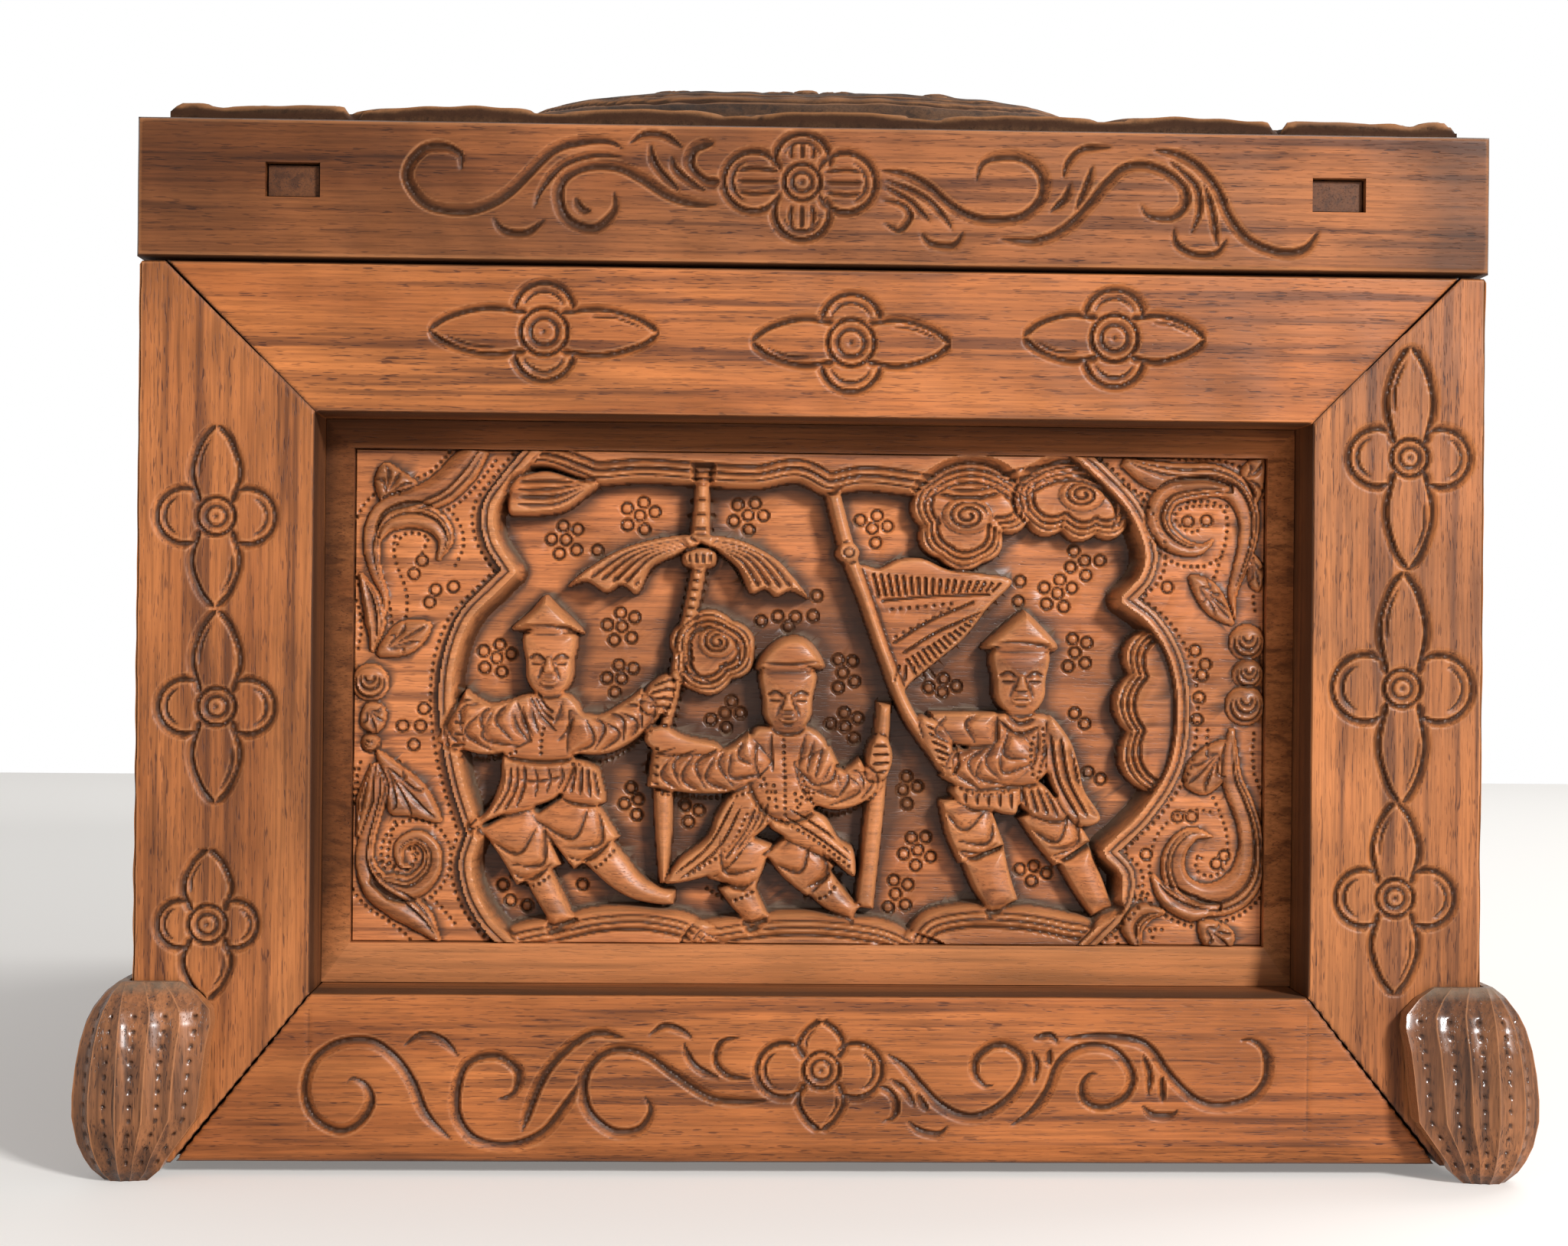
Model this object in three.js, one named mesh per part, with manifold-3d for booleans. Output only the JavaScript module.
// A carved wooden box with a hinged lid: mitred frames around relief panels, fluted corner
// feet, and a lid with through tenons and a carved, domed top board.
// Millimetres, +Z up. The origin is on the floor under the middle of the box. The end that
// faces -Y is the one in the photograph, the lid opens at -X and is hinged along +X.

import * as THREE from 'three';
import { mergeVertices } from 'three/addons/utils/BufferGeometryUtils.js';
import Module from 'manifold-3d';

const wasm = await Module();
wasm.setup();

// Clearances
const fit = 0.3;
const seam = 0.6;

// Body
const bodyWidth = 200;
const bodyLength = 260;
const bodyHeight = 132.5;
const footDrop = 2;
const frameThickness = 18;
const stileWidth = 26;
const topRailHeight = 22;
const bottomRailHeight = 25;
const topMitreInset = 4;
const bottomMitreInset = 6;
const bottomChamfer = 1.2;
const bottomChamferHeight = 2.7;

// Carved panels
const bevelDepth = 10;
const bevelWidth = 4.5;
const bottomBevelWidth = 6.2;
const bevelFall = 2;
const panelThickness = 8.5;
const tongueThickness = 3;
const tongueDepth = 4;
const groundDepth = 6.6;
const spandrelRise = 4.5;
const rimRise = 6.3;
const rimOuter = 0.8;
const rimInner = 1.6;
const reliefSink = 0.4;
const sceneSpread = 0.62;
const rises = {
  hill: 5.4, cloud: 4.8, scroll: 6.1, tree: 5.4, canopy: 6.1, cloth: 4.2, pole: 5.8, body: 5.6, hat: 6.4,
};

// Bottom board
const bottomThickness = 6;
const bottomRaise = 6;

// Feet
const footHeight = 28.8;
const footLeg = 12.5;
const footSwell = 8.2;
const footEdge = 0.6;
const footFlutes = 9;
const fluteDepth = 0.9;
const legShare = 0.33;

// Lid
const lidOverhang = 0.2;
const lidHeight = 20.5;
const lidRailWidth = 30;
const tenonWidth = 7.4;
const tenonHeight = 4.5;
const tenonInset = 22.7;
const tenonDrop = 9;
const tenonRecess = 1.5;
const liningThickness = 5;
const liningTongue = 5;
const liningDrop = 6;

// Carved top board of the lid
const topBoardThickness = 2.45;
const topBoardSetback = 4;
const domeWidth = 120;
const domeLength = 216;
const domeHeight = 14.8;
const domeSquareness = 4;
const domeFlatness = 6;
const bossRadius = 2.6;
const bossHeight = 1.2;
const bossSetback = 55;
const cornerLeafWidth = 26;
const cornerLeafHeight = 0.9;
const borderNotch = 2.5;
const borderLeafLength = 28;
const borderLeafHalf = 4.6;
const borderLeafInset = 5;
const borderLeafTilt = 0.12;
const domeLeaves = 8;
const domeLeafLength = 15;
const domeLeafHalf = 5.4;
const domeRosette = 13;
const domeCarving = 0.8;
const stripCarving = 0.7;
const ribHalf = 1.7;
const stripMiddle = 76;
const stripSpacing = 62;
const stripBoss = 4.2;
const endMiddle = 114;
const endSpacing = 38;
const endBoss = 2.8;

// Hinges
const hingeCount = 2;
const hingeInset = 25;
const leafLength = 30;
const leafWidth = 11;
const leafThickness = 1;
const barrelRadius = 1.6;
const pinRadius = 0.7;
const pinFit = 0.15;
const knuckles = 3;
const screwRadius = 0.9;
const screwHeadRadius = 1.7;
const screwHeadThickness = 0.5;
const screwLength = 8;
const screwSpacing = 18;

// Places that follow from the sizes above
const bodyBottom = footDrop;
const bodyTop = bodyBottom + bodyHeight;
const lidBottom = bodyTop + seam;
const lidTop = lidBottom + lidHeight;
const lidWidth = bodyWidth + 2 * lidOverhang;
const lidLength = bodyLength + 2 * lidOverhang;
const openingBottom = bodyBottom + bottomRailHeight;
const openingTop = bodyTop - topRailHeight;
const openingMiddle = (openingBottom + openingTop) / 2;
const openingHeight = openingTop - openingBottom;
const tongueFront = bevelDepth + bevelFall;
const hingeX = bodyWidth / 2 + lidOverhang + barrelRadius + fit;
const hingeZ = bodyTop + seam / 2;

const colours = {
  frameWood: { color: 0x9c6239, roughness: 0.45 },
  carvedWood: { color: 0x8a5532, roughness: 0.4 },
  lidWood: { color: 0x86573a, roughness: 0.5 },
  darkWood: { color: 0x6a4632, roughness: 0.6 },
  innerWood: { color: 0xa5754c, roughness: 0.7 },
  brass: { color: 0xa88743, roughness: 0.4, metalness: 1 },
  steel: { color: 0x8d8a84, roughness: 0.4, metalness: 1 },
};

// A closed geometry as a solid that can be joined and cut
function solid(geometry) {
  const bare = geometry.clone();
  bare.deleteAttribute('normal');
  bare.deleteAttribute('uv');
  const merged = mergeVertices(bare, 1e-4);
  const corners = merged.index.array;
  const kept = [];
  for (let i = 0; i < corners.length; i += 3) {
    const [a, b, c] = [corners[i], corners[i + 1], corners[i + 2]];
    if (a !== b && b !== c && c !== a) kept.push(a, b, c);
  }
  return new wasm.Manifold(new wasm.Mesh({
    numProp: 3,
    vertProperties: Float32Array.from(merged.attributes.position.array),
    triVerts: Uint32Array.from(kept),
  }));
}

function geometryOf(body) {
  const mesh = body.getMesh();
  const geometry = new THREE.BufferGeometry();
  geometry.setAttribute('position', new THREE.BufferAttribute(mesh.vertProperties, 3));
  geometry.setIndex(new THREE.BufferAttribute(mesh.triVerts, 1));
  geometry.computeVertexNormals();
  return geometry;
}

function piece(name, body, look) {
  const mesh = new THREE.Mesh(geometryOf(body), new THREE.MeshStandardMaterial(colours[look]));
  mesh.name = name;
  return mesh;
}

function block(x0, x1, y0, y1, z0, z1) {
  const box = new THREE.BoxGeometry(x1 - x0, y1 - y0, z1 - z0);
  return solid(box.translate((x0 + x1) / 2, (y0 + y1) / 2, (z0 + z1) / 2));
}

function outline(points) {
  return new THREE.Shape(points.map(([x, y]) => new THREE.Vector2(x, y)));
}

// A plan outline raised from z0 to z1
function raised(shape, z0, z1) {
  const body = new THREE.ExtrudeGeometry(shape, { depth: z1 - z0, bevelEnabled: false, curveSegments: 10 });
  return solid(body.translate(0, 0, z0));
}

// An outline seen from the front, X across and Z up, from the plane y = front to y = back
function upright(shape, front, back) {
  const body = new THREE.ExtrudeGeometry(shape, { depth: back - front, bevelEnabled: false, curveSegments: 10 });
  return solid(body.rotateX(Math.PI / 2).translate(0, back, 0));
}

// A rod along Y
function rod(radius, x, z, y0, y1, sides = 20) {
  const body = new THREE.CylinderGeometry(radius, radius, y1 - y0, sides);
  return solid(body.translate(x, (y0 + y1) / 2, z));
}

// Rings of equally many points, joined side by side and closed at both ends
function loft(rings) {
  const count = rings[0].length;
  const positions = rings.flat().flat();
  const faces = [];
  for (let r = 0; r + 1 < rings.length; r += 1) {
    for (let i = 0; i < count; i += 1) {
      const j = (i + 1) % count;
      const [a, b, c, d] = [r * count + i, r * count + j, (r + 1) * count + j, (r + 1) * count + i];
      faces.push(a, b, c, a, c, d);
    }
  }
  const ends = [[0, true], [rings.length - 1, false]];
  for (const [r, below] of ends) {
    const contour = rings[r].map(([x, y]) => new THREE.Vector2(x, y));
    for (const [a, b, c] of THREE.ShapeUtils.triangulateShape(contour, [])) {
      const corner = below ? [a, c, b] : [a, b, c];
      faces.push(...corner.map((i) => r * count + i));
    }
  }
  const geometry = new THREE.BufferGeometry();
  geometry.setAttribute('position', new THREE.Float32BufferAttribute(positions, 3));
  geometry.setIndex(faces);
  return solid(geometry);
}

function rectangleRing(halfX, y0, y1, z) {
  return [[-halfX, y0, z], [halfX, y0, z], [halfX, y1, z], [-halfX, y1, z]];
}

// One side of the body, modelled as if it faced -Y: half is half its width across, and
// face is the distance from the middle of the box to its outer face.
const sides = [
  { name: 'front', half: bodyWidth / 2, face: bodyLength / 2, turn: 0 },
  { name: 'right', half: bodyLength / 2, face: bodyWidth / 2, turn: Math.PI / 2 },
  { name: 'back', half: bodyWidth / 2, face: bodyLength / 2, turn: Math.PI },
  { name: 'left', half: bodyLength / 2, face: bodyWidth / 2, turn: -Math.PI / 2 },
];

// The plan of one frame: a strip whose ends are mitred at the corners of the box
function framePlan({ half, face }) {
  const outer = half - fit;
  const inner = half - frameThickness - fit;
  return outline([[-outer, -face], [outer, -face], [inner, -face + frameThickness],
    [-inner, -face + frameThickness]]);
}

function grooveFor({ half, face }) {
  const reach = half - stileWidth + tongueDepth + fit;
  return block(-reach, reach, -face + tongueFront - fit, -face + tongueFront + tongueThickness + fit,
    openingBottom - tongueDepth - fit, openingTop + tongueDepth + fit);
}

function frameMember(side, points) {
  const front = upright(outline(points), -side.face, -side.face + frameThickness);
  const plan = raised(framePlan(side), bodyBottom - 1, bodyTop + 1);
  return front.intersect(plan).subtract(grooveFor(side));
}

function topRail(side) {
  const top = side.half - topMitreInset - fit;
  const inner = side.half - stileWidth - fit;
  return frameMember(side, [[-top, bodyTop], [-inner, openingTop], [inner, openingTop], [top, bodyTop]]);
}

function bottomRail(side) {
  const low = side.half - bottomMitreInset - fit;
  const inner = side.half - stileWidth - fit;
  const member = frameMember(side, [[-low, bodyBottom], [low, bodyBottom],
    [inner, openingBottom], [-inner, openingBottom]]);
  const edge = new THREE.Shape();
  edge.moveTo(-side.face - 1, bodyBottom - 1);
  edge.lineTo(-side.face + bottomChamfer, bodyBottom - 1);
  edge.lineTo(-side.face + bottomChamfer, bodyBottom);
  edge.lineTo(-side.face, bodyBottom + bottomChamferHeight);
  edge.lineTo(-side.face - 1, bodyBottom + bottomChamferHeight);
  const strip = new THREE.ExtrudeGeometry(edge, { depth: 2 * side.half, bevelEnabled: false });
  const cutter = solid(strip.applyMatrix4(new THREE.Matrix4().makeBasis(
    new THREE.Vector3(0, 1, 0), new THREE.Vector3(0, 0, 1), new THREE.Vector3(1, 0, 0))));
  return member.subtract(cutter.translate([-side.half, 0, 0]));
}

function stile(side, hand) {
  const inner = side.half - stileWidth;
  const points = [[side.half, bodyBottom], [side.half, bodyTop], [side.half - topMitreInset, bodyTop],
    [inner, openingTop], [inner, openingBottom], [side.half - bottomMitreInset, bodyBottom]];
  const turned = hand > 0 ? points : points.map(([u, v]) => [-u, v]).reverse();
  return frameMember(side, turned);
}

// A flat outline that can be joined, cut and offset
function section(points) {
  return new wasm.CrossSection([points], 'NonZero');
}

function oval(u, v, radiusU, radiusV = radiusU, sides = 10) {
  return section(Array.from({ length: sides }, (_, i) => {
    const angle = ((i + 0.5) / sides) * 2 * Math.PI;
    return [u + radiusU * Math.cos(angle), v + radiusV * Math.sin(angle)];
  }));
}

// A band along a spine, with its half-width at each point
function band(spine, halves) {
  const edge = (hand) => spine.map(([u, v], i) => {
    const [a, b] = [spine[Math.max(0, i - 1)], spine[Math.min(spine.length - 1, i + 1)]];
    const [du, dv] = [b[0] - a[0], b[1] - a[1]];
    const reach = (hand * (halves[i] ?? halves[0])) / Math.hypot(du, dv);
    return [u - reach * dv, v + reach * du];
  });
  return section(edge(1).concat(edge(-1).reverse()));
}

// A pointed leaf from its root
function leafOutline(u, v, length, half, angle) {
  const [c, s] = [Math.cos(angle), Math.sin(angle)];
  const points = [[0, 0], [length * 0.35, -half], [length * 0.75, -half * 0.7], [length, 0],
    [length * 0.75, half * 0.7], [length * 0.35, half]];
  return section(points.map(([a, b]) => [u + a * c - b * s, v + a * s + b * c]));
}

// The carved scene, seen from the front and measured from the middle of the opening. The rim of
// the cartouche is three arcs on each side that meet in cusps.
const rimLeft = [[-42.1, 39], [-46.4, 33.8], [-49.1, 29.5], [-48.8, 24.6], [-45.9, 19.8], [-48.3, 17.4],
  [-52.7, 12.6], [-55.1, 5.4], [-55.3, -2.8], [-53.6, -12], [-51, -20.2], [-52.2, -24.5], [-51.2, -29.4],
  [-48.3, -34.2], [-44, -38]];
const rimRight = [[40.3, 39], [44.6, 35.2], [49, 30.4], [51.6, 24.2], [50.9, 19.8], [48, 16.5],
  [52.3, 13.1], [55.7, 7.3], [56.9, -0.4], [55.7, -9.1], [51.4, -16.3], [45.6, -22.1], [48.5, -25.5],
  [48, -30.3], [44.6, -34.2], [40.8, -38]];
const sky = [[-46, 34.8], [-41, 35.6], [-32.7, 33.1], [-25.7, 33.6], [-8.8, 32.8], [-2.5, 33.8], [2.2, 31.9],
  [8, 32.8], [22.5, 30.8], [32.1, 32.8], [46, 35], [46, 42], [-46, 42]];
const hills = [
  [[-50, -42], [-48, -35.4], [-44, -33.6], [-32, -31.2], [-25.3, -30.9], [-18.7, -32], [-8.7, -37], [-8, -42]],
  [[-22, -42], [-18, -34], [-13.7, -32.8], [-5.4, -31.7], [2.9, -31.7], [11.2, -32.8], [21, -37], [22, -42]],
  [[12, -42], [16.2, -33], [22.8, -30.4], [31.9, -30.4], [39.4, -31.6], [44.8, -33.4], [48, -42]],
];
const clouds = {
  middle: [[16.2, 32.6], [16.6, 28.1], [17.4, 24.7], [20.3, 22.3], [24.5, 21.4], [27.8, 23.1], [29, 26],
    [31.9, 26.8], [34.8, 29.3], [31.1, 32.6]],
  outer: [[31.5, 33.4], [31.9, 28.1], [35.3, 26.4], [39, 27.2], [41.9, 26], [45.2, 26.8], [48.9, 26.8],
    [47.7, 31], [44.4, 34.3]],
  low: [[-18.7, 13.1], [-14.5, 13.6], [-11.2, 11.9], [-8.3, 8.6], [-9.6, 5.3], [-12.5, 4.4], [-15.4, 2],
    [-18.7, 1.5], [-19.9, 4.4]],
  side: [[56, 11], [50.6, 10.7], [47.7, 6.9], [48.5, 3.2], [46.5, 0.3], [46.9, -3.8], [48.9, -7.2],
    [48.9, -10.5], [51.9, -13], [56, -12]],
};
const leftBearer = {
  torso: [[-45.4, 0.4], [-37, 1.4], [-34.4, -4.6], [-32, -9.6], [-31.1, -15.4], [-38.6, -14.8], [-42.8, -16.4],
    [-51.9, -19.4], [-47.6, -12.6], [-46.6, -4]],
  limbs: [
    { spine: [[-46.5, -17.8], [-41.5, -26], [-37.3, -33.7]], halves: [4.4, 3.6, 2], rise: 4.8 },
    { spine: [[-36.6, -15], [-33.6, -22.4], [-27, -28], [-20.6, -29.6]], halves: [4.4, 4.6, 2.6, 1.2], rise: 5.2 },
    { spine: [[-43.4, -2.8], [-49, -4], [-54, -2]], halves: [3.6, 4.1, 4.3], rise: 5.9 },
    { spine: [[-37, -4.6], [-31.5, -4.8], [-26.6, -2], [-22.6, 1.6]], halves: [3.4, 3.1, 2.9, 2.4], rise: 6.1 },
  ],
  head: [-39.9, 6.3, 3.8, 5.3],
  hat: [[-45.7, 11.4], [-40.9, 16.2], [-40, 15.9], [-34.7, 11]],
};
const kneelingPorter = {
  torso: [[-9.2, -4.4], [-0.4, -3.4], [2.6, -5.6], [3, -10], [1.8, -16.4], [6.6, -22.1], [6.8, -26.4],
    [-1.3, -21.6], [-6.2, -19], [-8.7, -20.6], [-13, -25.6], [-21.6, -27.8], [-15.4, -19.6], [-12, -13.4]],
  limbs: [
    { spine: [[-22.4, -13], [-22.2, -27.6]], halves: [1.7, 0.8], rise: 4.8 },
    { spine: [[11.4, 0.2], [8.5, -31.2]], halves: [1.2, 1.6], rise: 4.8 },
    { spine: [[-9.4, -20], [-11.6, -27.4], [-7.6, -33]], halves: [4.2, 3.6, 1.8], rise: 5.2 },
    { spine: [[-4.4, -21], [0.6, -27], [6.4, -31.8]], halves: [3.4, 3, 1.4], rise: 5 },
    { spine: [[-7.5, -6.5], [-12, -10], [-18, -10.4], [-24.6, -9.4]], halves: [3, 3.5, 3.5, 3.6], rise: 6.2 },
    { spine: [[0.2, -7.5], [2.6, -12.4], [6.6, -12.4], [11, -8.4]], halves: [3.2, 3.6, 3.2, 2.6], rise: 6.2 },
  ],
  head: [-3.5, 0.9, 4, 5.2],
  hat: [[-8.2, 5.2], [-7, 8.4], [-4, 10.5], [-1.4, 10.4], [0.6, 8.6], [2.1, 5.4]],
};
const rightBearer = {
  torso: [[27, -1.6], [31, -0.8], [36.9, -1.4], [39.8, -4.7], [42.3, -12.1], [44.8, -17.3], [40.6, -18],
    [31.9, -16.4], [24.8, -15.6], [21.4, -11.4], [25, -4.6]],
  limbs: [
    { spine: [[35.5, -15], [39.4, -22], [44.6, -30.8]], halves: [4, 3.4, 2], rise: 4.8 },
    { spine: [[23.6, -14], [26.4, -22.6], [28.8, -30.2]], halves: [4, 3.8, 3], rise: 5.2 },
    { spine: [[28.6, -3.6], [18.4, -3.4]], halves: [2.6, 2.1], rise: 5.6 },
    { spine: [[33.2, -5], [29.4, -8.8], [19.6, -8]], halves: [3, 3.3, 2.8], rise: 6.2 },
  ],
  head: [32.1, 4.2, 4.2, 5.6],
  hat: [[26.4, 9.2], [32.4, 14.5], [33.6, 14.3], [37.8, 9.4]],
};
const canopy = [[-37.2, 17.6], [-34, 20.6], [-29.4, 23.4], [-24, 25], [-17.9, 25.8], [-11, 25], [-5.8, 22.4],
  [-0.6, 16.4], [-7.6, 16.8], [-11, 21.4], [-16.8, 23.4], [-23.2, 20.4], [-28.4, 16.5], [-32.6, 18.6]];
const parasolPole = [[-16.9, 36], [-17.1, 22], [-19.6, 8.6], [-22.3, -4.6]];
const cloth = [[7.4, 20.8], [16.4, 21.6], [30.7, 19.2], [23.6, 10.4], [16, 4.4], [12.6, 5]];
const flagPole = [[3.1, 32.4], [8.4, 15.6], [14.9, -1.2], [20.2, -8.6]];
const poleHalf = 1.2;

// Curling leaves in the corners outside the cartouche
const scrolls = {
  left: [
    { spine: [[-50.5, 38], [-56, 30.9], [-61.8, 28.5], [-65.2, 18.9], [-62.8, 13.1]],
      halves: [2.4, 2.6, 2.2, 1.3, 0.8] },
    { spine: [[-61, 27.6], [-54.6, 24.2], [-55.6, 19.6]], halves: [1.6, 1.3, 0.8] },
    { spine: [[-64.2, -8.1], [-59.4, -12], [-55.1, -18]], halves: [0.8, 2.5, 0.6] },
    { spine: [[-65, -9.4], [-63.8, -17.3], [-66.2, -25], [-62.8, -33.2], [-57, -36.6]],
      halves: [0.9, 1.5, 1.6, 2, 0.8] },
    { spine: [[-63.2, -33], [-56.6, -30], [-57, -24.4], [-62.3, -25]], halves: [1.4, 1.7, 1.4, 1] },
  ],
  right: [
    { spine: [[48.4, 34.4], [53.8, 32.8], [60.5, 33.3], [66, 28], [64.4, 13.1]],
      halves: [2, 2, 1.8, 1.5, 0.9] },
    { spine: [[63.4, 31.9], [56.4, 30.4], [56.2, 25.1], [60.1, 24.2]], halves: [1.2, 1.5, 1.4, 0.8] },
    { spine: [[63.9, -6], [60.4, -9.4], [58.4, -12.8]], halves: [1.4, 2.6, 1.2] },
    { spine: [[64.9, -4.8], [64.4, -11], [67.8, -24], [61, -31.3], [55, -26], [60.5, -19.7]],
      halves: [0.8, 1.4, 1.6, 2, 1.6, 0.7] },
    { spine: [[55, -32.6], [51.4, -33.4], [49.4, -37.5]], halves: [0.6, 2, 0.8] },
  ],
};
const buds = { left: [[-66, 3.2, 2.6]], right: [[67.3, 9.6, 2.4], [67.3, 4.9, 2.7], [67, 0.2, 2.4]] };

// A pine with pads of needles, for the wide panels
function pine(u, lean) {
  const pads = [[lean * 1.6, 10, 9, 4.2], [-lean * 0.9, 1, 7, 3.4], [lean * 1.4, -8, 7.6, 3.4],
    [lean * 0.2, 19, 8, 4]];
  const trunk = band([[u, -32], [u + lean * 0.3, -18], [u + lean * 0.6, 8]], [2.6, 2, 1.2]);
  return pads.reduce((tree, [du, v, radiusU, radiusV]) => tree.add(
    section([[-1, -0.2], [1, -0.2], [0.7, 0.7], [0, 1], [-0.7, 0.7]]
      .map(([a, b]) => [u + du + a * radiusU, v + b * radiusV]))), trunk);
}

// What the relief of one side holds, as outlines with their rise over the ground. spread is how
// much wider the panel is on each side than the one on the box's end.
function carvedScene(spread) {
  const near = spread * sceneSpread;
  const spots = spread > 0 ? [-spread, 0, spread] : [0];
  const parts = [];
  const add = (rise, outlines, du = 0) => outlines.forEach((one) => parts.push([rise, one.translate([du, 0])]));
  for (const du of spots) add(rises.hill, [section(sky), ...hills.map(section)], du);
  add(rises.cloud, [section(clouds.middle)], near);
  add(rises.cloud, [section(clouds.outer), section(clouds.side)], spread);
  add(rises.cloud, [section(clouds.low)]);
  add(rises.scroll, scrolls.left.map(({ spine, halves }) => band(spine, halves)), -spread);
  add(rises.scroll, scrolls.right.map(({ spine, halves }) => band(spine, halves)), spread);
  add(rises.scroll, buds.left.map(([u, v, radius]) => oval(u, v, radius, radius, 8)), -spread);
  add(rises.scroll, buds.right.map(([u, v, radius]) => oval(u, v, radius, radius, 8)), spread);
  if (spread > 0) add(rises.tree, [pine(-52, -3), pine(56, 3)]);
  add(rises.canopy, [section(canopy), band(parasolPole, [poleHalf])], -near);
  add(rises.cloth, [section(cloth)], near);
  add(rises.pole, [band(flagPole, [poleHalf])], near);
  const people = [[leftBearer, -near], [kneelingPorter, 0], [rightBearer, near]];
  for (const [{ torso, limbs, head, hat }, du] of people) {
    limbs.forEach(({ spine, halves, rise }) => add(rise, [band(spine, halves)], du));
    add(rises.body, [section(torso), oval(...head)], du);
    add(rises.hat, [section(hat)], du);
  }
  return parts;
}

function carvedPanel(side) {
  const halfU = side.half - stileWidth;
  const halfV = openingHeight / 2;
  const back = -side.face + tongueFront + tongueThickness;
  const tongue = block(-halfU - tongueDepth, halfU + tongueDepth, -side.face + tongueFront, back,
    openingBottom - tongueDepth, openingTop + tongueDepth);
  const edge = 0.5;
  const bevel = loft([
    rectangleRing(halfU - fit, -halfV + fit, halfV - fit, 0),
    rectangleRing(halfU - fit, -halfV + fit, halfV - fit, edge),
    rectangleRing(halfU - bevelWidth, -halfV + bottomBevelWidth, halfV - bevelWidth, bevelFall + edge),
  ]).rotate([90, 0, 0]).translate([0, -side.face + tongueFront + edge, openingMiddle]);
  const backing = block(-halfU + fit, halfU - fit, back - 1, -side.face + bevelDepth + panelThickness,
    openingBottom + fit, openingTop - fit);
  const fieldFace = -side.face + bevelDepth;
  const ground = fieldFace + groundDepth;
  const fieldU = halfU - bevelWidth;
  const [fieldLow, fieldHigh] = [openingBottom + bottomBevelWidth, openingTop - bevelWidth];
  const hollow = block(-fieldU, fieldU, fieldFace - 1, ground, fieldLow, fieldHigh);
  const spread = side.half - bodyWidth / 2;
  const raise = (flat, rise) => flat.extrude(rise + reliefSink).rotate([90, 0, 0])
    .translate([0, ground + reliefSink, openingMiddle]);
  const cartouche = section(rimLeft.map(([u, v]) => [u - spread, v])
    .concat(rimRight.map(([u, v]) => [u + spread, v]).reverse()));
  const spandrel = section([[-fieldU, -halfV], [fieldU, -halfV], [fieldU, halfV], [-fieldU, halfV]])
    .subtract(cartouche);
  const rim = cartouche.offset(rimOuter, 'Miter').subtract(cartouche.offset(-rimInner, 'Miter'));
  let relief = raise(spandrel, spandrelRise).add(raise(rim, rimRise));
  for (const [rise, flat] of carvedScene(spread)) relief = relief.add(raise(flat, rise));
  if (side.turn < 0 || side.turn === Math.PI) relief = relief.mirror([1, 0, 0]);
  const room = block(-fieldU, fieldU, fieldFace, ground + reliefSink, fieldLow, fieldHigh);
  return tongue.add(bevel).add(backing).subtract(hollow).add(relief.intersect(room));
}

// The foot's cross-section at one height, around the outside of a corner whose two faces
// run along -X and -Y from the origin. t goes along one leg, round the corner and down the other.
function footRing(reach, swell, z) {
  const steps = footFlutes * 4;
  const ring = [[-reach, fit, z], [fit, fit, z], [fit, -reach, z]];
  const outer = [];
  for (let i = 0; i <= steps; i += 1) {
    const t = i / steps;
    const flute = 1 - (fluteDepth / footSwell) * Math.abs(Math.sin(t * footFlutes * Math.PI));
    const bulge = Math.sin(Math.PI * (0.12 + 0.76 * t)) ** 0.5;
    const out = footEdge + (swell - footEdge) * flute * bulge;
    const corner = Math.PI / 2 * Math.min(1, Math.max(0, (t - legShare) / (1 - 2 * legShare)));
    const along = Math.max(0, (legShare - t) / legShare);
    const down = Math.max(0, (t - 1 + legShare) / legShare);
    outer.push([fit - along * (reach + fit) + out * Math.sin(corner),
      fit - down * (reach + fit) + out * Math.cos(corner), z]);
  }
  return ring.concat(outer.reverse());
}

function foot() {
  // Share of the height, share of the swell, share of the reach along each face
  const profile = [[0, 0.39, 0.26], [0.06, 0.63, 0.42], [0.12, 0.77, 0.5], [0.2, 0.9, 0.64],
    [0.33, 1, 0.86], [0.44, 1, 0.89], [0.57, 0.95, 0.92], [0.69, 0.87, 0.95], [0.8, 0.75, 1],
    [0.87, 0.62, 0.98], [0.95, 0.39, 0.8], [1, 0.15, 0.6]];
  return loft(profile.map(([h, out, reach]) => footRing(footLeg * reach, footSwell * out, footHeight * h)));
}

function lidEndRail() {
  const half = lidWidth / 2;
  const rail = block(-half, half, -lidLength / 2, -lidLength / 2 + lidRailWidth, lidBottom, lidTop);
  const holes = [-1, 1].map((hand) => tenon(hand * (half - tenonInset), -lidLength / 2 - 1,
    -lidLength / 2 + lidRailWidth + 1, fit));
  return rail.subtract(holes[0]).subtract(holes[1]).subtract(liningGroove());
}

function tenon(x, y0, y1, clearance) {
  const z = lidTop - tenonDrop;
  return block(x - tenonWidth / 2 - clearance, x + tenonWidth / 2 + clearance, y0, y1,
    z - tenonHeight / 2 - clearance, z + tenonHeight / 2 + clearance);
}

function liningGroove() {
  const x = lidWidth / 2 - lidRailWidth + liningTongue + fit;
  const y = lidLength / 2 - lidRailWidth + liningTongue + fit;
  return block(-x, x, -y, y, lidBottom + liningDrop - fit, lidBottom + liningDrop + liningThickness + fit);
}

function lidLongRail(hand) {
  const outer = lidWidth / 2;
  const inner = outer - lidRailWidth;
  const end = lidLength / 2 - lidRailWidth - fit;
  const reach = lidLength / 2 - tenonRecess;
  const [x0, x1] = hand > 0 ? [inner, outer] : [-outer, -inner];
  return block(x0, x1, -end, end, lidBottom, lidTop)
    .add(tenon(hand * (outer - tenonInset), -reach, reach, 0))
    .subtract(liningGroove());
}

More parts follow.
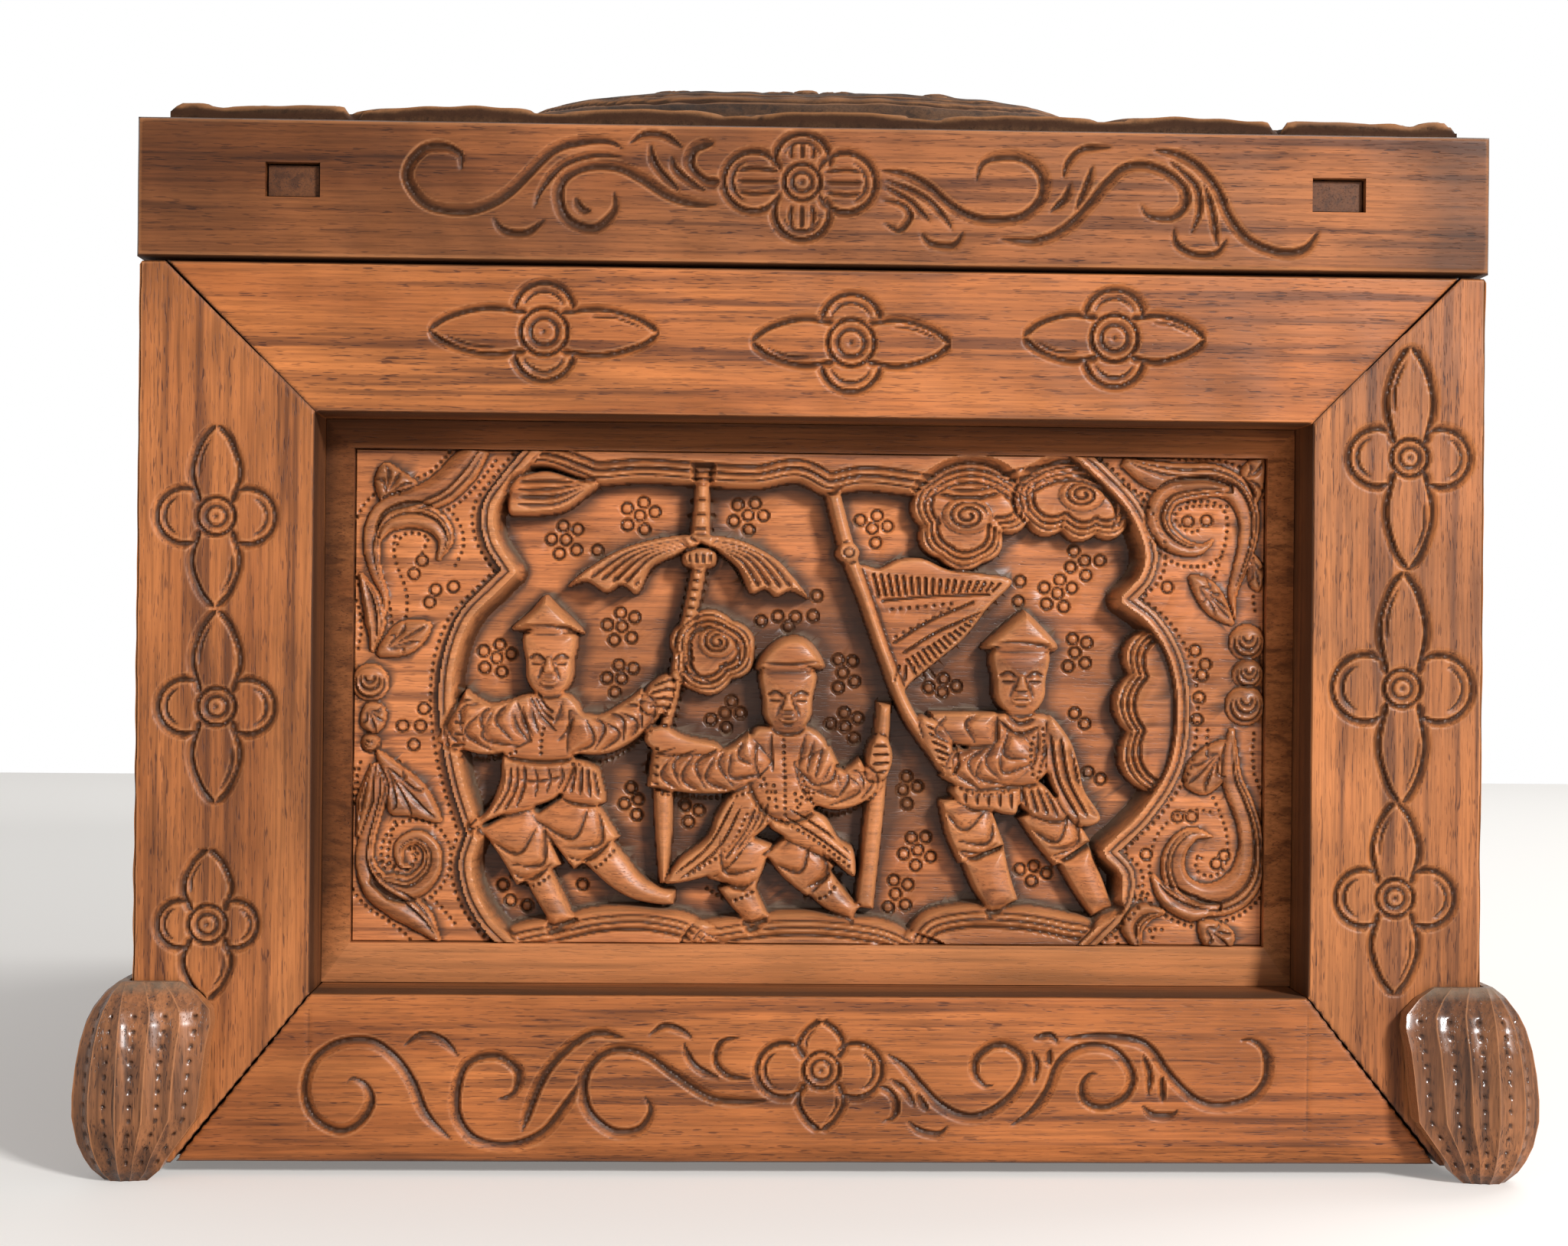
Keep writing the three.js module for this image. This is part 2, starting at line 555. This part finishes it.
function liningBoard() {
  const x = lidWidth / 2 - lidRailWidth + liningTongue;
  const y = lidLength / 2 - lidRailWidth + liningTongue;
  return block(-x, x, -y, y, lidBottom + liningDrop, lidBottom + liningDrop + liningThickness);
}

// Scrolls on the top board, for one quarter of the dome and for one side of the strips
const domeScrolls = [
  [[4, 36], [18, 40], [28, 52], [26, 66], [14, 70], [8, 62], [14, 56]],
  [[28, 52], [38, 44], [40, 30], [32, 22], [26, 28]],
];
const stripScroll = [[0, 3], [6, 10], [7, 18], [0, 24], [-7, 20], [-5, 13]];

// The carved board on the lid: a border with a notch beside each corner leaf, around a long
// pillow-shaped dome with a small boss near each end
function topBoard() {
  const x = lidWidth / 2 - topBoardSetback;
  const y = lidLength / 2 - topBoardSetback;
  const low = lidTop + fit;
  const high = low + topBoardThickness;
  let board = block(-x, x, -y, y, low, high);
  for (const [sx, sy] of [[-1, -1], [1, -1], [1, 1], [-1, 1]]) {
    const cx = sx * (x - cornerLeafWidth);
    const cy = sy * (y - cornerLeafWidth);
    const across = block(Math.min(cx, cx - sx * borderNotch), Math.max(cx, cx - sx * borderNotch),
      Math.min(sy * y, sy * (y - borderNotch)) - 1, Math.max(sy * y, sy * (y - borderNotch)) + 1,
      high - topBoardThickness * 0.6, high + 1);
    const along = block(Math.min(sx * x, sx * (x - borderNotch)) - 1, Math.max(sx * x, sx * (x - borderNotch)) + 1,
      Math.min(cy, cy - sy * borderNotch), Math.max(cy, cy - sy * borderNotch),
      high - topBoardThickness * 0.6, high + 1);
    const leaf = new THREE.Shape();
    leaf.moveTo(sx * (x - 1), sy * (y - 1));
    leaf.lineTo(cx, sy * (y - 1));
    leaf.quadraticCurveTo(cx, cy, sx * (x - 1), cy);
    board = board.subtract(across).subtract(along).add(raised(leaf, high - 1, high + cornerLeafHeight));
  }
  const strips = stripCarvings(x, y).extrude(1 + stripCarving).translate([0, 0, high - 1]);
  const reach = block(-x, x, -y, y, low, high + domeHeight * 2);
  const raisedDome = dome(high).translate([0, 0, domeCarving]);
  const ornament = domeCarvings().extrude(domeHeight + 2).translate([0, 0, high - 1]).intersect(raisedDome);
  return board.add(strips.intersect(reach)).add(dome(high)).add(ornament)
    .add(boss(1, high)).add(boss(-1, high));
}

// Leaves along the board's edges and scrolls on the strips beside the dome, in plan
function stripCarvings(x, y) {
  const flats = [];
  const rows = [[x - cornerLeafWidth, y - borderLeafInset, 0], [y - cornerLeafWidth, x - borderLeafInset, 1]];
  for (const [half, across, turned] of rows) {
    const count = Math.floor((2 * half) / borderLeafLength);
    const step = (2 * half) / count;
    for (const hand of [-1, 1]) {
      for (let i = 0; i < count; i += 1) {
        const start = -half + i * step;
        const tilt = borderLeafTilt * hand;
        flats.push(turned ? leafOutline(hand * across, start, step, borderLeafHalf, Math.PI / 2 - tilt)
          : leafOutline(start, hand * across, step, borderLeafHalf, tilt));
      }
    }
  }
  for (const hand of [-1, 1]) {
    for (const v of [-stripSpacing, 0, stripSpacing]) {
      flats.push(oval(hand * stripMiddle, v, stripBoss));
      for (const turn of [-1, 1]) {
        flats.push(band(stripScroll.map(([a, b]) => [hand * (stripMiddle + a), v + turn * b]), [ribHalf]));
      }
    }
    for (const u of [-endSpacing, 0, endSpacing]) flats.push(oval(u, hand * endMiddle, endBoss));
  }
  return flats.reduce((all, one) => all.add(one));
}

// A rosette of leaves in the middle of the dome, with a scroll towards each corner, in plan
function domeCarvings() {
  const flats = [oval(0, 0, domeRosette, domeRosette, 16)];
  for (let i = 0; i < domeLeaves; i += 1) {
    const angle = (i / domeLeaves) * 2 * Math.PI;
    flats.push(leafOutline(domeRosette * 0.9 * Math.cos(angle), domeRosette * 0.9 * Math.sin(angle),
      domeLeafLength, domeLeafHalf, angle));
  }
  for (const [sx, sy] of [[-1, -1], [1, -1], [1, 1], [-1, 1]]) {
    for (const spine of domeScrolls) {
      flats.push(band(spine.map(([a, b]) => [sx * a, sy * b]), [ribHalf]));
    }
  }
  return flats.reduce((all, one) => all.add(one));
}

// Height of the dome over the board, as a share, at a distance from its middle that is 0 at
// the middle and 1 at its outline
function domeRise(distance) {
  return (1 - distance ** domeFlatness) ** 0.8;
}

function dome(base) {
  const steps = 64;
  const ring = (distance, z) => Array.from({ length: steps }, (_, i) => {
    const angle = (i / steps) * 2 * Math.PI;
    const [c, s] = [Math.cos(angle), Math.sin(angle)];
    const square = (Math.abs(c) ** domeSquareness + Math.abs(s) ** domeSquareness) ** (-1 / domeSquareness);
    return [distance * square * c * domeWidth / 2, distance * square * s * domeLength / 2, z];
  });
  const rings = [ring(1, base - 1), ring(1, base)];
  for (const distance of [0.985, 0.96, 0.92, 0.86, 0.78, 0.68, 0.55, 0.38, 0.15]) {
    rings.push(ring(distance, base + domeHeight * domeRise(distance)));
  }
  return loft(rings);
}

function boss(hand, base) {
  const y = hand * (lidLength / 2 - bossSetback);
  const top = base + domeHeight * domeRise(Math.abs(y) / (domeLength / 2));
  const body = new THREE.CylinderGeometry(bossRadius * 0.7, bossRadius, bossHeight + 2, 16);
  return solid(body.rotateX(Math.PI / 2).translate(0, y, top + bossHeight / 2 - 1));
}

// Hinge leaves lie let in to the right top rail and the lid's right rail. The middles of the
// first and last lie at hingeInset from the lid's end rails.
const hingeReach = lidLength / 2 - lidRailWidth - hingeInset;
const hingeSpacing = (2 * hingeReach) / Math.max(1, hingeCount - 1);
const hingePlaces = Array.from({ length: hingeCount }, (_, i) => (i - (hingeCount - 1) / 2) * hingeSpacing);

function leafPlate(y, low, clearance) {
  const high = low + leafThickness;
  const x0 = bodyWidth / 2 - leafWidth;
  return block(x0 - clearance, hingeX, y - leafLength / 2 - clearance, y + leafLength / 2 + clearance,
    low - clearance, high + clearance);
}

function screwPlaces(y) {
  return [-1, 1].map((hand) => [bodyWidth / 2 - leafWidth / 2, y + hand * screwSpacing / 2]);
}

// A countersunk screw with its head flush in the leaf; up is 1 for the lid's screws
function screw(x, y, seat, up, clearance) {
  const headFar = seat + up * screwHeadThickness;
  const tip = seat + up * screwLength;
  const column = (radius, from, to) => {
    const body = new THREE.CylinderGeometry(radius + clearance, radius + clearance, Math.abs(to - from), 16);
    return solid(body.rotateX(Math.PI / 2).translate(x, y, (from + to) / 2));
  };
  const start = seat - up * clearance;
  return column(screwHeadRadius, start, headFar + up * clearance)
    .add(column(screwRadius, start, tip + up * clearance));
}

function leaf(y, low, up) {
  const own = up > 0 ? 1 : 0;
  const step = leafLength / knuckles;
  let body = leafPlate(y, low, 0);
  for (let i = 0; i < knuckles; i += 1) {
    const y0 = y - leafLength / 2 + i * step;
    if (i % 2 === own) {
      const from = i === 0 ? y0 : y0 + fit / 2;
      const to = i === knuckles - 1 ? y0 + step : y0 + step - fit / 2;
      body = body.add(rod(barrelRadius, hingeX, hingeZ, from, to));
    } else {
      body = body.subtract(block(bodyWidth / 2 + lidOverhang, hingeX + barrelRadius + 1,
        y0 - fit / 2, y0 + step + fit / 2, low - 1, low + leafThickness + 1));
    }
  }
  body = body.subtract(rod(pinRadius + pinFit, hingeX, hingeZ, y - leafLength, y + leafLength));
  const seat = up > 0 ? low : low + leafThickness;
  for (const [x, sy] of screwPlaces(y)) body = body.subtract(screw(x, sy, seat, up, fit));
  return body;
}

const bodyLeafLow = bodyTop - leafThickness;
const lidLeafLow = lidBottom;

const box = new THREE.Group();
const body = new THREE.Group();
const lid = new THREE.Group();
box.add(body, lid);

for (const side of sides) {
  const group = new THREE.Group();
  group.rotation.z = side.turn;
  let rail = topRail(side);
  if (side.name === 'right') {
    const backTurn = [0, 0, -90];
    for (const y of hingePlaces) {
      let pocket = leafPlate(y, bodyLeafLow, fit);
      for (const [x, sy] of screwPlaces(y)) pocket = pocket.add(screw(x, sy, bodyTop, -1, fit));
      rail = rail.subtract(pocket.rotate(backTurn));
    }
  }
  group.add(piece(`${side.name}_top_rail`, rail, 'frameWood'));
  group.add(piece(`${side.name}_bottom_rail`, bottomRail(side), 'frameWood'));
  group.add(piece(`${side.name}_stile_a`, stile(side, -1), 'frameWood'));
  group.add(piece(`${side.name}_stile_b`, stile(side, 1), 'frameWood'));
  group.add(piece(`${side.name}_carved_panel`, carvedPanel(side), 'carvedWood'));
  body.add(group);
}

const innerX = bodyWidth / 2 - frameThickness - fit;
const innerY = bodyLength / 2 - frameThickness - fit;
const boardLow = bodyBottom + bottomRaise;
body.add(piece('bottom_board', block(-innerX, innerX, -innerY, innerY, boardLow, boardLow + bottomThickness),
  'innerWood'));

const corners = [['back_right', 1, 1, 0], ['back_left', -1, 1, 1], ['front_left', -1, -1, 2],
  ['front_right', 1, -1, 3]];
for (const [name, sx, sy, quarter] of corners) {
  const mesh = piece(`foot_${name}`, foot(), 'darkWood');
  mesh.position.set(sx * bodyWidth / 2, sy * bodyLength / 2, 0);
  mesh.rotation.z = quarter * Math.PI / 2;
  body.add(mesh);
}

let backLidRail = lidLongRail(1);
for (const y of hingePlaces) {
  let pocket = leafPlate(y, lidLeafLow, fit);
  for (const [x, sy] of screwPlaces(y)) pocket = pocket.add(screw(x, sy, lidBottom, 1, fit));
  backLidRail = backLidRail.subtract(pocket);
}
lid.add(piece('lid_end_rail_front', lidEndRail(), 'lidWood'));
const backEnd = piece('lid_end_rail_back', lidEndRail(), 'lidWood');
backEnd.rotation.z = Math.PI;
lid.add(backEnd);
lid.add(piece('lid_long_rail_left', lidLongRail(-1), 'lidWood'));
lid.add(piece('lid_long_rail_right', backLidRail, 'lidWood'));
lid.add(piece('lid_lining_board', liningBoard(), 'innerWood'));
lid.add(piece('lid_carved_top', topBoard(), 'darkWood'));

hingePlaces.forEach((y, i) => {
  body.add(piece(`hinge_${i + 1}_body_leaf`, leaf(y, bodyLeafLow, -1), 'brass'));
  body.add(piece(`hinge_${i + 1}_pin`,
    rod(pinRadius, hingeX, hingeZ, y - leafLength / 2 - fit, y + leafLength / 2 + fit), 'steel'));
  lid.add(piece(`hinge_${i + 1}_lid_leaf`, leaf(y, lidLeafLow, 1), 'brass'));
  screwPlaces(y).forEach(([x, sy], n) => {
    body.add(piece(`hinge_${i + 1}_body_screw_${n + 1}`, screw(x, sy, bodyTop, -1, 0), 'steel'));
    lid.add(piece(`hinge_${i + 1}_lid_screw_${n + 1}`, screw(x, sy, lidBottom, 1, 0), 'steel'));
  });
});

export default box;
